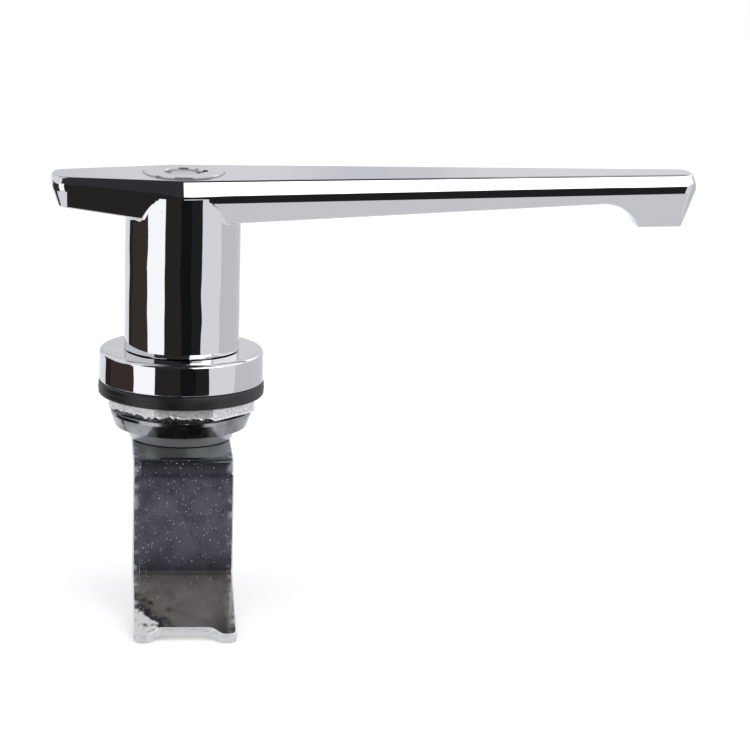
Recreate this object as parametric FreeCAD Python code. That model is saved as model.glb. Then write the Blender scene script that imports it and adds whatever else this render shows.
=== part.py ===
import FreeCAD, Part
import math
import os

os.makedirs("parts", exist_ok=True)
Vec = FreeCAD.Vector

# Cabinet L-handle lock. Millimetres.
# Origin: on the turning axis, in the plane of the panel's outer face, where the gasket lies.
# +Z points out of the cabinet, +X along the lever, and the cam reaches towards -Y.

# Flange, gasket and barrel
flange_radius = 16.0
flange_height = 6.2
flange_edge_round = 0.8
flange_foot_round = 0.3
gasket_thickness = 2.7
gasket_overhang = 0.2
gasket_edge_round = 0.4
barrel_radius = 11.0
barrel_reach = 8.6
barrel_cone_height = 2.2
barrel_cone_inset = 1.0
loose_fit = 0.1

# Nut and lock ring on the barrel
nut_wall = 3.0
nut_height = 3.0
nut_upper_height = 1.95
nut_draft = 0.5
nut_thread_gap = 0.02
nut_set = -4.0
lock_ring_inset = 0.25
lock_ring_height = 3.3
lock_ring_rim = 0.8
lock_ring_taper = 0.95
lock_ring_round = 0.2

# Turning journal of the lever in the mounting body
neck_radius = 11.2
neck_gap = 0.2
journal_radius = 9.6
journal_length = 6.4
spindle_radius = 6.5
running_fit = 0.05
floor_gap = 0.1
end_play = 0.15
barrel_counterbore_wall = 1.1
barrel_counterbore_depth = 2.1

# Thrust washer and stop pin
thrust_washer_thickness = 0.8
thrust_washer_width = 2.6
stop_pin_radius = 1.0
stop_pin_circle = 8.35
stop_pin_depth = 4.0
stop_pin_stand = 1.9
stop_pin_angle = 315.0
stop_clearance = 0.05
lever_swing = 90.0

# O-ring and retaining ring on the journal
o_ring_section = 0.68
o_ring_below_floor = 2.6
o_ring_groove_depth = 1.4
retaining_ring_thickness = 0.8
retaining_ring_radius = 8.2
retaining_ring_gap = 2.0
retaining_ring_mouth = 6.5
retaining_groove_depth = 0.6
groove_side_gap = 0.05

# Lever plan and section
lever_top = 43.4
corner_x = -1.0
hub_half_width = 9.8
tip_reach = 100.5
tip_half_width = 3.5
tip_corner_radius = 2.2
heel_reach = 25.0
heel_half_width = 5.0
heel_corner_radius = 3.0
side_tilt = 20.0
hub_belt_depth = 3.4
tip_belt_depth = 2.7
heel_belt_depth = 1.85
belt_round = 2.8
top_edge_round = 0.5
under_edge_round = 0.4

# Underside of the lever and the finger stop at its tip
hub_depth = 8.84
arm_depth_at_stop = 5.65
heel_depth = 5.9
stop_depth = 10.7
stop_arch_x = 82.1
stop_arch_radius = 8.3
neck_blend_round = 1.0

# Key cylinder
shell_radius = 7.9
shell_fit = 0.05
shell_stand = 0.3
shell_bevel = 0.35
shell_length = 18.0
shell_front_wall = 3.4
shell_wall = 1.7
key_opening_radius = 3.8
key_notch_width = 1.6
key_notch_depth = 0.7
key_opening_bevel = 0.25
post_radius = 2.7
post_sink = 0.3
post_bevel = 0.3
plug_head_length = 5.5
plug_spindle_radius = 2.5
plug_tail_length = 3.0
shear_gap = 0.1
pin_count = 7
pin_circle = 3.25
pin_radius = 0.5
pin_bore_gap = 0.03
key_pin_length = 5.0
driver_length = 2.5
pin_spring_length = 4.2
pin_spring_wall = 0.2
sleeve_length = 7.9
sleeve_pin_radius = 0.8
sleeve_pin_bite = 1.0
clip_thickness = 0.6
clip_radius = 4.2
clip_groove_depth = 0.5
clip_gap = 0.2
clip_mouth = 3.2

# Grub screw in the back of the neck
grub_radius = 1.5
grub_below_shell_face = 13.0
grub_socket_radius = 0.75
grub_socket_depth = 1.4

# Tail rod and lock bolt
rod_radius = 3.0
rod_fit = 0.1
tang_thickness = 1.5
tang_width = 4.4
tang_length = 2.4
tang_gap = 0.05
eccentric_throw = 1.8
eccentric_radius = 1.0
eccentric_slot_gap = 0.1
key_turn = 90.0
bolt_thickness = 2.6
bolt_floor_height = 2.7
bolt_gap = 0.1
bolt_body_width = 8.0
bolt_body_back = 6.0
bolt_body_front = 5.0
bolt_tongue_width = 5.0
bolt_tip_sink = 0.1
bolt_slot_wall = 1.0
notch_side_gap = 0.2
notch_end_gap = 0.5

# Cam and its screw
cam_thickness = 2.0
cam_width = 19.2
cam_drop_reach = 20.5
cam_drop_level = 31.0
cam_tab_length = 20.7
cam_tab_slope = 16.0
cam_bend_radius = 1.2
cam_tab_bend_radius = 1.6
cam_notch_depth = 2.2
cam_notch_half_width = 4.9
cam_notch_slope = 1.9
cam_corner_round = 1.4
cam_set = -4.0
tenon_across_flats = 9.0
tenon_gap = 0.05
tenon_short = 0.1
washer_thickness = 1.2
washer_radius = 7.0
spring_washer_thickness = 1.5
spring_washer_radius = 5.3
spring_washer_slit = 1.0
screw_radius = 3.0
screw_gap = 0.05
screw_shank = 10.0
screw_head_across_flats = 10.0
screw_head_height = 4.0
tapped_hole_spare = 1.5

# Margin when an edge is picked by its place
edge_margin = 0.01

# Widths and levels from the sizes above
nut_across_flats = 2 * (barrel_radius + nut_wall)
lock_ring_radius = nut_across_flats / 2 - lock_ring_inset
flange_bottom = gasket_thickness
flange_top = flange_bottom + flange_height
neck_foot = flange_top + neck_gap
journal_bottom = neck_foot - journal_length - neck_gap
socket_floor = journal_bottom - floor_gap - thrust_washer_thickness
cam_top = -barrel_reach - end_play
cam_bottom = cam_top - cam_thickness
tenon_end = cam_bottom + tenon_short
washer_bottom = cam_bottom - washer_thickness
spring_washer_bottom = washer_bottom - spring_washer_thickness
shell_top = lever_top + shell_stand
shell_bottom = shell_top - shell_length
plug_head_top = shell_top - shell_front_wall - shear_gap
plug_head_bottom = plug_head_top - plug_head_length
sleeve_top = plug_head_bottom - shear_gap
sleeve_bottom = sleeve_top - sleeve_length
clip_top = sleeve_bottom - clip_gap
plug_end = clip_top - clip_thickness - plug_tail_length
bolt_bottom = journal_bottom + bolt_floor_height
bolt_top = bolt_bottom + bolt_thickness
rod_bottom = bolt_top + bolt_gap + rod_fit
rod_top = plug_end - rod_fit
eccentric_end = bolt_bottom + bolt_gap
bolt_travel = 2 * eccentric_throw * math.sin(math.radians(key_turn / 2))
retaining_groove_top = -barrel_reach + retaining_ring_gap
cavity_radius = shell_radius - shell_wall


def cylinder(radius, low, high, x=0.0, y=0.0):
    return Part.makeCylinder(radius, high - low, Vec(x, y, low))


def ring(outer, inner, low, high):
    return cylinder(outer, low, high).cut(cylinder(inner, low, high))


def block(x0, x1, y0, y1, z0, z1):
    return Part.makeBox(x1 - x0, y1 - y0, z1 - z0, Vec(x0, y0, z0))


def turned(profile):
    """Solid turned about the axis from (radius, height) points."""
    points = [Vec(r, 0, z) for r, z in profile]
    wire = Part.makePolygon(points + [points[0]])
    return Part.Face(wire).revolve(Vec(0, 0, 0), Vec(0, 0, 1), 360)


def prism(points, low, high):
    """Upright prism over a closed plan outline of (x, y) points."""
    corners = [Vec(x, y, low) for x, y in points]
    face = Part.Face(Part.makePolygon(corners + [corners[0]]))
    return face.extrude(Vec(0, 0, high - low))


def polygon_plan(across_flats, sides):
    """Corners of a regular polygon whose flats face the axes."""
    corner = across_flats / 2 / math.cos(math.pi / sides)
    return [(corner * math.cos((2 * k + 1) * math.pi / sides),
             corner * math.sin((2 * k + 1) * math.pi / sides)) for k in range(sides)]


def sector(inner, outer, start, end, low, high):
    """Part of a ring between two angles in degrees."""
    face = Part.Face(Part.makePolygon([Vec(inner, 0, low), Vec(outer, 0, low), Vec(outer, 0, high),
                                       Vec(inner, 0, high), Vec(inner, 0, low)]))
    face.rotate(Vec(0, 0, 0), Vec(0, 0, 1), start)
    return face.revolve(Vec(0, 0, 0), Vec(0, 0, 1), end - start)


def pin_places():
    """The places of the lock's small pins around the axis."""
    step = 360.0 / pin_count
    return [(pin_circle * math.cos(math.radians(90 + k * step)),
             pin_circle * math.sin(math.radians(90 + k * step))) for k in range(pin_count)]


def pins(radius, low, high):
    return [cylinder(radius, low, high, x, y) for x, y in pin_places()]


def write(name, shape):
    shape.exportStep("parts/" + name + ".step")


# Mounting body: flange, socket for the journal, threaded barrel (the thread is left plain)
def mounting_body():
    bore = spindle_radius + running_fit
    socket = journal_radius + running_fit
    barrel_end = barrel_radius - barrel_cone_inset
    outside = turned([(0, -barrel_reach), (barrel_end, -barrel_reach),
                      (barrel_radius, -barrel_reach + barrel_cone_height), (barrel_radius, flange_bottom),
                      (flange_radius, flange_bottom), (flange_radius, flange_top), (0, flange_top)])
    rim = [e for e in outside.Edges
           if e.BoundBox.ZMin > flange_top - edge_margin and e.BoundBox.XMax > flange_radius - edge_margin]
    outside = outside.makeFillet(flange_edge_round, rim)
    foot = [e for e in outside.Edges
            if e.BoundBox.ZMax < flange_bottom + edge_margin
            and e.BoundBox.XMax > flange_radius - edge_margin]
    outside = outside.makeFillet(flange_foot_round, foot)
    body = outside.cut(cylinder(socket, socket_floor, flange_top))
    body = body.cut(cylinder(bore, -barrel_reach, socket_floor))
    counterbore_radius = barrel_end - barrel_counterbore_wall
    body = body.cut(cylinder(counterbore_radius, -barrel_reach, -barrel_reach + barrel_counterbore_depth))
    # Two pockets in the socket's wall take the bolt, one at each end of the lever's swing
    half = bolt_tongue_width / 2 + notch_side_gap
    reach = journal_radius - bolt_tip_sink + bolt_travel + notch_end_gap
    for angle in (0.0, lever_swing):
        notch = block(-half, half, spindle_radius, reach,
                      bolt_bottom - notch_side_gap, bolt_top + notch_side_gap)
        notch.rotate(Vec(0, 0, 0), Vec(0, 0, 1), angle)
        body = body.cut(notch)
    x = stop_pin_circle * math.cos(math.radians(stop_pin_angle))
    y = stop_pin_circle * math.sin(math.radians(stop_pin_angle))
    return body.cut(cylinder(stop_pin_radius, socket_floor - stop_pin_depth, socket_floor, x, y))


def stop_pin():
    x = stop_pin_circle * math.cos(math.radians(stop_pin_angle))
    y = stop_pin_circle * math.sin(math.radians(stop_pin_angle))
    top = journal_bottom + stop_pin_stand
    return cylinder(stop_pin_radius, socket_floor - stop_pin_depth, top, x, y)


def gasket():
    disc = cylinder(flange_radius + gasket_overhang, 0.0, gasket_thickness)
    disc = disc.makeFillet(gasket_edge_round, [e for e in disc.Edges if e.Closed])
    return disc.cut(cylinder(barrel_radius + loose_fit, 0.0, gasket_thickness))


def octagonal_nut():
    upper = prism(polygon_plan(nut_across_flats, 8), -nut_upper_height, 0.0)
    wide = [Vec(x, y, -nut_upper_height) for x, y in polygon_plan(nut_across_flats - 2 * loose_fit, 8)]
    narrow = [Vec(x, y, -nut_height) for x, y in polygon_plan(nut_across_flats - 2 * nut_draft, 8)]
    outlines = [Part.makePolygon(wide + [wide[0]]), Part.makePolygon(narrow + [narrow[0]])]
    lower = Part.makeLoft(outlines, True, True)
    nut = upper.fuse(lower).cut(cylinder(barrel_radius + nut_thread_gap, -nut_height, 0.0))
    nut.rotate(Vec(0, 0, 0), Vec(0, 0, 1), nut_set)
    return nut


def lock_ring():
    """Round ring with a short rim and a long taper below it."""
    top = -nut_height
    low = top - lock_ring_height
    rim = (lock_ring_radius, top - lock_ring_rim)
    foot = (lock_ring_radius - lock_ring_taper, low)
    shape = turned([(0, low), foot, rim, (lock_ring_radius, top), (0, top)])
    shape = shape.makeFillet(lock_ring_round, [e for e in shape.Edges if e.Closed])
    return shape.cut(cylinder(barrel_radius + nut_thread_gap, low, top))


def thrust_washer():
    inner = spindle_radius + 2 * loose_fit + running_fit
    shape = ring(inner + thrust_washer_width, inner, socket_floor, socket_floor + thrust_washer_thickness)
    half = stop_pin_radius + 2 * loose_fit
    gap = block(0, 2 * stop_pin_circle, -half, half, socket_floor, socket_floor + thrust_washer_thickness)
    gap.rotate(Vec(0, 0, 0), Vec(0, 0, 1), stop_pin_angle)
    return shape.cut(gap)


# Lever: flat top, and two tilted sides that meet in a rounded belt
def side_section(half_width, belt_depth, base_depth, origin, outward, inner=0.0):
    """Half section of the lever as a closed wire, from the inner line out to the tilted sides."""
    tilt = math.tan(math.radians(side_tilt))
    top = (half_width, 0.0)
    belt = (half_width + belt_depth * tilt, -belt_depth)
    base = (belt[0] - (base_depth - belt_depth) * tilt, -base_depth)

    def rounded(before, corner, after, radius):
        a = Vec(before[0] - corner[0], before[1] - corner[1], 0).normalize()
        b = Vec(after[0] - corner[0], after[1] - corner[1], 0).normalize()
        half_angle = a.getAngle(b) / 2
        run = radius / math.tan(half_angle)
        middle = (a + b).normalize() * (radius / math.sin(half_angle) - radius)
        return [(corner[0] + v.x, corner[1] + v.y) for v in (a * run, middle, b * run)]

    def place(point):
        return origin + outward * point[0] + Vec(0, 0, lever_top + point[1])

    edge = [place(p) for p in rounded((inner, 0.0), top, belt, top_edge_round)]
    waist = [place(p) for p in rounded(top, belt, base, belt_round)]
    inner_top = place((inner, 0.0))
    inner_base = place((inner, -base_depth))
    foot = place(base)
    edges = [Part.LineSegment(inner_top, edge[0]).toShape(),
             Part.Arc(edge[0], edge[1], edge[2]).toShape(),
             Part.LineSegment(edge[2], waist[0]).toShape(),
             Part.Arc(waist[0], waist[1], waist[2]).toShape(),
             Part.LineSegment(waist[2], foot).toShape(),
             Part.LineSegment(foot, inner_base).toShape(),
             Part.LineSegment(inner_base, inner_top).toShape()]
    return Part.Wire(edges)


def lever_end(reach, end_half_width, corner_radius, end_belt_depth):
    """Quarter of the lever, from the hub's middle line towards +X, with a rounded corner at its end."""
    deep = stop_depth + loose_fit
    centre_x = reach - corner_radius
    centre_y = end_half_width - corner_radius
    drop = hub_half_width - centre_y
    bearing = math.acos(corner_radius / math.hypot(centre_x, drop)) - math.atan2(centre_x, drop)
    corner = Vec(centre_x, -centre_y, 0)
    outward = Vec(math.sin(bearing), -math.cos(bearing), 0)
    hub_wire = side_section(hub_half_width, hub_belt_depth, deep, Vec(0, 0, 0), Vec(0, -1, 0), centre_y)
    corner_wire = side_section(corner_radius, end_belt_depth, deep, corner, outward)
    side = Part.makeLoft([hub_wire, corner_wire], True, True)
    turn = Part.Face(corner_wire).revolve(corner, Vec(0, 0, 1), 90 - math.degrees(bearing))
    end_wire = side_section(corner_radius, end_belt_depth, deep, corner, Vec(1, 0, 0))
    end = Part.Face(end_wire).extrude(Vec(0, centre_y, 0))
    core = block(0, centre_x, -centre_y, 0, lever_top - deep, lever_top)
    return [side, turn, end, core]


def lever_block():
    """The lever with its sides carried down to the depth of the finger stop, all round its plan."""
    tip_parts = lever_end(tip_reach - corner_x, tip_half_width, tip_corner_radius, tip_belt_depth)
    heel_parts = lever_end(heel_reach + corner_x, heel_half_width, heel_corner_radius, heel_belt_depth)
    heel_parts = [part.mirror(Vec(0, 0, 0), Vec(1, 0, 0)) for part in heel_parts]
    front = tip_parts[0].multiFuse(tip_parts[1:] + heel_parts)
    front.translate(Vec(corner_x, 0, 0))
    back = front.mirror(Vec(0, 0, 0), Vec(0, 1, 0))
    return front.fuse(back).removeSplitter()


def lever_side_outline():
    """Outline of the lever seen from the front, with the sloping underside and the arch of the stop."""
    far = 2 * stop_depth
    left = -heel_reach - far
    right = tip_reach + far
    top = lever_top + far
    arch_start = Vec(stop_arch_x, 0, lever_top - arm_depth_at_stop)
    sag = stop_depth - arm_depth_at_stop
    arch_run = math.sqrt(stop_arch_radius ** 2 - (stop_arch_radius - sag) ** 2)
    arch_end = Vec(stop_arch_x + arch_run, 0, lever_top - stop_depth)
    half = math.acos((stop_arch_radius - sag) / stop_arch_radius) / 2
    arch_middle = Vec(stop_arch_x + stop_arch_radius * math.sin(half), 0,
                      arch_start.z - stop_arch_radius * (1 - math.cos(half)))
    heel_slope = (hub_depth - heel_depth) / heel_reach
    left_level = lever_top - hub_depth - heel_slope * left
    points = [arch_end, Vec(right, 0, lever_top - stop_depth), Vec(right, 0, top), Vec(left, 0, top),
              Vec(left, 0, left_level), Vec(0, 0, lever_top - hub_depth), arch_start]
    edges = [Part.LineSegment(a, b).toShape() for a, b in zip(points, points[1:])]
    edges.append(Part.Arc(arch_start, arch_middle, arch_end).toShape())
    face = Part.Face(Part.Wire(edges))
    face.translate(Vec(0, -far, 0))
    return face.extrude(Vec(0, 2 * far, 0))


def tenon(across_flats, low, high):
    """Square for the cam. It stands a few degrees round from the lever."""
    square = prism(polygon_plan(across_flats, 4), low, high)
    square.rotate(Vec(0, 0, 0), Vec(0, 0, 1), cam_set)
    return square


def bolt_chamber():
    half = bolt_body_width / 2 + bolt_gap
    return block(-half, half, -bolt_body_back - bolt_gap, 2 * journal_radius,
                 bolt_bottom - bolt_gap, bolt_top + bolt_gap)


def lever():
    handle = lever_block().common(lever_side_outline())
    handle = handle.makeFillet(under_edge_round, underside_edges(handle))
    neck = cylinder(neck_radius, neck_foot, lever_top - hub_belt_depth)
    handle = handle.fuse(neck)
    handle = handle.makeFillet(neck_blend_round, [e for e in handle.Edges if is_neck_seam(e)])

    journal = cylinder(journal_radius, journal_bottom, neck_foot)
    spindle = cylinder(spindle_radius, cam_top, journal_bottom)
    handle = handle.multiFuse([journal, spindle, tenon(tenon_across_flats, tenon_end, cam_top)])

    # Space for the key cylinder, the tail rod and the lock bolt
    handle = handle.cut(cylinder(shell_radius + shell_fit, shell_bottom - rod_fit, lever_top))
    handle = handle.cut(cylinder(rod_radius + rod_fit, bolt_top, shell_bottom))
    handle = handle.cut(bolt_chamber())

    # Window in the journal's foot for the stop pin, over the whole swing
    pin_half_angle = math.degrees(math.asin((stop_pin_radius + stop_clearance) / stop_pin_circle))
    inner = stop_pin_circle - stop_pin_radius - loose_fit
    handle = handle.cut(sector(inner, 2 * journal_radius, stop_pin_angle - lever_swing - pin_half_angle,
                               stop_pin_angle + pin_half_angle, journal_bottom,
                               journal_bottom + stop_pin_stand + loose_fit))

    # Grooves for the O-ring and the retaining ring, and the tapped hole for the cam screw
    o_ring_level = journal_bottom - o_ring_below_floor
    o_ring_half = o_ring_section + groove_side_gap
    handle = handle.cut(ring(2 * spindle_radius, spindle_radius - o_ring_groove_depth,
                             o_ring_level - o_ring_half, o_ring_level + o_ring_half))
    handle = handle.cut(ring(2 * spindle_radius, spindle_radius - retaining_groove_depth,
                             retaining_groove_top - retaining_ring_thickness - groove_side_gap,
                             retaining_groove_top))
    hole_top = spring_washer_bottom + screw_shank + tapped_hole_spare
    handle = handle.cut(cylinder(screw_radius + screw_gap, tenon_end, hole_top))

    # Cross hole for the grub screw in the back of the neck
    level = shell_top - grub_below_shell_face
    hole = Part.makeCylinder(grub_radius + screw_gap, 2 * neck_radius, Vec(0, 0, level), Vec(0, 1, 0))
    return handle.cut(hole)


def underside_edges(shape):
    """Edges where a face that looks more down than sideways meets one that doesn't."""
    found = []
    for edge in shape.Edges:
        middle = edge.valueAt((edge.FirstParameter + edge.LastParameter) / 2)
        looks_down = []
        for face in shape.ancestorsOfType(edge, Part.Face):
            u, v = face.Surface.parameter(middle)
            normal = face.normalAt(u, v)
            looks_down.append(normal.z < -math.hypot(normal.x, normal.y))
        if sorted(looks_down) == [False, True]:
            found.append(edge)
    return found


def is_neck_seam(edge):
    """True for an edge where the neck meets the sloping sides or the underside of the lever."""
    box = edge.BoundBox
    middle = edge.valueAt((edge.FirstParameter + edge.LastParameter) / 2)
    on_neck = abs(math.hypot(middle.x, middle.y) - neck_radius) < edge_margin
    below_belt = box.ZMax < lever_top - hub_belt_depth - edge_margin
    return on_neck and below_belt and box.ZMin > neck_foot + edge_margin


def journal_o_ring():
    groove_floor = spindle_radius - o_ring_groove_depth
    level = journal_bottom - o_ring_below_floor
    return Part.makeTorus(groove_floor + o_ring_section, o_ring_section, Vec(0, 0, level))


def retaining_ring():
    top = retaining_groove_top - groove_side_gap / 2
    shape = ring(retaining_ring_radius, spindle_radius - retaining_groove_depth + groove_side_gap,
                 top - retaining_ring_thickness, top)
    half = retaining_ring_mouth / 2
    return shape.cut(block(-half, half, 0, 2 * retaining_ring_radius, top - retaining_ring_thickness, top))


# Cam: plate with a square hole, bent down in front of the barrel and forward again at its tab
def cam():
    strip = cam_strip()
    notch = prism(cam_notch_plan(), -cam_thickness, cam_thickness)
    notch.rotate(Vec(0, 0, 0), Vec(1, 0, 0), cam_tab_slope)
    notch.translate(Vec(0, -cam_drop_reach, -cam_drop_level))
    plate = strip.cut(notch)
    beyond_bend = -cam_drop_reach - cam_tab_bend_radius - cam_thickness
    corners = [e for e in plate.Edges
               if abs(e.Length - cam_thickness) < edge_margin and e.BoundBox.YMax < beyond_bend]
    plate = plate.makeFillet(cam_corner_round, corners)
    half = cam_width / 2
    back = block(-half, half, 0, cam_width, cam_bottom, cam_top).cut(cylinder(half, cam_bottom, cam_top))
    plate = plate.cut(back)
    plate.rotate(Vec(0, 0, 0), Vec(0, 0, 1), cam_set)
    return plate.cut(tenon(tenon_across_flats + 2 * tenon_gap, cam_bottom, cam_top))


def cam_strip():
    """The strip of sheet with its two bends, swept over the cam's width."""
    outer = cam_bend_radius + cam_thickness
    tab_outer = cam_tab_bend_radius + cam_thickness
    slope = math.radians(cam_tab_slope)
    bend_run = cam_tab_bend_radius * math.tan((math.pi / 2 - slope) / 2)

    def on_circle(centre_y, centre_z, radius, angle):
        turn = math.radians(angle)
        return Vec(0, centre_y + radius * math.cos(turn), centre_z + radius * math.sin(turn))

    def arc(centre_y, centre_z, radius, start, end):
        return [on_circle(centre_y, centre_z, radius, t) for t in (start, (start + end) / 2, end)]

    bend_y = outer - cam_drop_reach
    bend_z = cam_top - outer
    tab_y = -cam_drop_reach - cam_tab_bend_radius
    tab_z = -cam_drop_level + bend_run
    top_arc = arc(bend_y, bend_z, outer, 90, 180)
    tab_arc = arc(tab_y, tab_z, cam_tab_bend_radius, 0, cam_tab_slope - 90)
    tab_under = arc(tab_y, tab_z, tab_outer, cam_tab_slope - 90, 0)
    under_arc = arc(bend_y, bend_z, cam_bend_radius, 180, 90)
    back = Vec(0, cam_width / 2, cam_top)
    tip = Vec(0, -cam_drop_reach - cam_tab_length * math.cos(slope),
              -cam_drop_level - cam_tab_length * math.sin(slope))
    tip_under = tip + Vec(0, math.sin(slope), -math.cos(slope)) * cam_thickness
    down = Vec(0, 0, -cam_thickness)
    edges = [Part.LineSegment(back, top_arc[0]).toShape(), Part.Arc(*top_arc).toShape(),
             Part.LineSegment(top_arc[2], tab_arc[0]).toShape(), Part.Arc(*tab_arc).toShape(),
             Part.LineSegment(tab_arc[2], tip).toShape(), Part.LineSegment(tip, tip_under).toShape(),
             Part.LineSegment(tip_under, tab_under[0]).toShape(), Part.Arc(*tab_under).toShape(),
             Part.LineSegment(tab_under[2], under_arc[0]).toShape(), Part.Arc(*under_arc).toShape(),
             Part.LineSegment(under_arc[2], back + down).toShape(),
             Part.LineSegment(back + down, back).toShape()]
    face = Part.Face(Part.Wire(edges))
    face.translate(Vec(-cam_width / 2, 0, 0))
    return face.extrude(Vec(cam_width, 0, 0))


def cam_notch_plan():
    """Shallow notch between the two lobes at the tab's end, measured along the tab from its bend."""
    floor = cam_notch_depth - cam_tab_length
    beyond = -cam_tab_length - cam_notch_depth
    half = cam_notch_half_width
    wide = half + 2 * cam_notch_slope
    return [(-half, floor), (half, floor), (wide, beyond), (-wide, beyond)]


def cam_washer():
    return ring(washer_radius, screw_radius + loose_fit, washer_bottom, cam_bottom)


def spring_washer():
    shape = ring(spring_washer_radius, screw_radius + loose_fit, spring_washer_bottom, washer_bottom)
    half = spring_washer_slit / 2
    return shape.cut(block(0, 2 * spring_washer_radius, -half, half, spring_washer_bottom, washer_bottom))


def cam_screw():
    head = prism(polygon_plan(screw_head_across_flats, 6), spring_washer_bottom - screw_head_height,
                 spring_washer_bottom)
    shank = cylinder(screw_radius, spring_washer_bottom, spring_washer_bottom + screw_shank)
    return head.fuse(shank)


# Key cylinder: a shell with a round key opening, a turning plug in front and a fixed sleeve behind
def cylinder_shell():
    shell = cylinder(shell_radius, shell_bottom, shell_top)
    rim = [e for e in shell.Edges if e.Closed and e.BoundBox.ZMin > shell_top - edge_margin]
    shell = shell.makeChamfer(shell_bevel, rim)
    shell = shell.cut(cylinder(cavity_radius, shell_bottom, shell_top - shell_front_wall))
    shell = shell.cut(cylinder(key_opening_radius, shell_bottom, shell_top))
    half = key_notch_width / 2
    shell = shell.cut(block(0, key_opening_radius + key_notch_depth, -half, half,
                            shell_top - shell_front_wall, shell_top))
    opening = [e for e in shell.Edges
               if e.BoundBox.ZMin > shell_top - edge_margin and e.BoundBox.XMax < cavity_radius]
    shell = shell.makeChamfer(key_opening_bevel, opening)
    return shell.cut(sleeve_pin_bar(sleeve_pin_radius, 2 * shell_radius))


def sleeve_pin_bar(radius, reach):
    level = (sleeve_top + sleeve_bottom) / 2
    start = cavity_radius - running_fit - sleeve_pin_bite
    return Part.makeCylinder(radius, reach - start, Vec(0, -start, level), Vec(0, -1, 0))


def sleeve_pin():
    return sleeve_pin_bar(sleeve_pin_radius, shell_radius - running_fit)


def pin_sleeve():
    shape = ring(cavity_radius - running_fit, plug_spindle_radius + running_fit, sleeve_bottom, sleeve_top)
    depth = driver_length + pin_spring_length
    for bore in pins(pin_radius + pin_bore_gap, sleeve_top - depth, sleeve_top):
        shape = shape.cut(bore)
    return shape.cut(sleeve_pin_bar(sleeve_pin_radius, 2 * shell_radius))


def driver_pins():
    return Part.makeCompound(pins(pin_radius, sleeve_top - driver_length, sleeve_top))


def pin_springs():
    top = sleeve_top - driver_length
    bottom = top - pin_spring_length
    outsides = pins(pin_radius, bottom, top)
    insides = pins(pin_radius - pin_spring_wall, bottom, top)
    return Part.makeCompound([a.cut(b) for a, b in zip(outsides, insides)])


def key_plug():
    head = cylinder(cavity_radius - running_fit, plug_head_bottom, plug_head_top)
    post = cylinder(post_radius, plug_head_top, shell_top - post_sink)
    rim = [e for e in post.Edges if e.Closed and e.BoundBox.ZMin > plug_head_top]
    post = post.makeChamfer(post_bevel, rim)
    spindle = cylinder(plug_spindle_radius, plug_end, plug_head_bottom)
    plug = head.multiFuse([post, spindle])
    for bore in pins(pin_radius + pin_bore_gap, plug_head_bottom, plug_head_top):
        plug = plug.cut(bore)
    groove = ring(2 * plug_spindle_radius, plug_spindle_radius - clip_groove_depth,
                  clip_top - clip_thickness - groove_side_gap, clip_top + groove_side_gap)
    plug = plug.cut(groove)
    half = tang_thickness / 2 + tang_gap
    return plug.cut(block(-2 * plug_spindle_radius, 2 * plug_spindle_radius, -half, half,
                          plug_end, plug_end + tang_length + tang_gap))


def key_pins():
    return Part.makeCompound(pins(pin_radius, plug_head_bottom, plug_head_bottom + key_pin_length))


def plug_clip():
    inner = plug_spindle_radius - clip_groove_depth + groove_side_gap / 2
    shape = ring(clip_radius, inner, clip_top - clip_thickness, clip_top)
    half = clip_mouth / 2
    return shape.cut(block(-half, half, 0, 2 * clip_radius, clip_top - clip_thickness, clip_top))


def tail_rod():
    rod = cylinder(rod_radius, rod_bottom, rod_top)
    tang = block(-tang_width / 2, tang_width / 2, -tang_thickness / 2, tang_thickness / 2,
                 rod_top, plug_end + tang_length)
    angle = math.radians(-key_turn / 2)
    eccentric = cylinder(eccentric_radius, eccentric_end, rod_bottom,
                         eccentric_throw * math.cos(angle), eccentric_throw * math.sin(angle))
    return rod.multiFuse([tang, eccentric])


# Lock bolt: a body guided in the neck, with a tongue that enters the mounting body
def lock_bolt():
    half = bolt_body_width / 2
    body = block(-half, half, -bolt_body_back, bolt_body_front, bolt_bottom, bolt_top)
    tongue_half = bolt_tongue_width / 2
    tongue = block(-tongue_half, tongue_half, 0, 2 * journal_radius, bolt_bottom, bolt_top)
    bolt = body.fuse(tongue).common(cylinder(journal_radius - bolt_tip_sink, bolt_bottom, bolt_top))
    middle = -eccentric_throw * math.sin(math.radians(key_turn / 2))
    gap = eccentric_radius + eccentric_slot_gap
    near = eccentric_throw * math.cos(math.radians(key_turn / 2)) - eccentric_radius - eccentric_slot_gap
    slot = block(near, half - bolt_slot_wall, middle - gap, middle + gap, bolt_bottom, bolt_top)
    return bolt.cut(slot)


def grub_screw():
    level = shell_top - grub_below_shell_face
    start = shell_radius + shell_fit
    end = neck_radius - loose_fit
    screw = Part.makeCylinder(grub_radius, end - start, Vec(0, start, level), Vec(0, 1, 0))
    socket = Part.makeCylinder(grub_socket_radius, grub_socket_depth, Vec(0, end - grub_socket_depth, level),
                               Vec(0, 1, 0))
    return screw.cut(socket)


write("mounting_body", mounting_body())
write("gasket", gasket())
write("octagonal_nut", octagonal_nut())
write("lock_ring", lock_ring())
write("thrust_washer", thrust_washer())
write("stop_pin", stop_pin())
write("lever", lever())
write("journal_o_ring", journal_o_ring())
write("retaining_ring", retaining_ring())
write("cam", cam())
write("cam_washer", cam_washer())
write("spring_washer", spring_washer())
write("cam_screw", cam_screw())
write("cylinder_shell", cylinder_shell())
write("grub_screw", grub_screw())
write("pin_sleeve", pin_sleeve())
write("sleeve_pin", sleeve_pin())
write("driver_pins", driver_pins())
write("pin_springs", pin_springs())
write("key_plug", key_plug())
write("key_pins", key_pins())
write("plug_clip", plug_clip())
write("tail_rod", tail_rod())
write("lock_bolt", lock_bolt())
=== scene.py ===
from math import ceil, copysign, cos, hypot, inf, pi, radians, sin, tan

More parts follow.
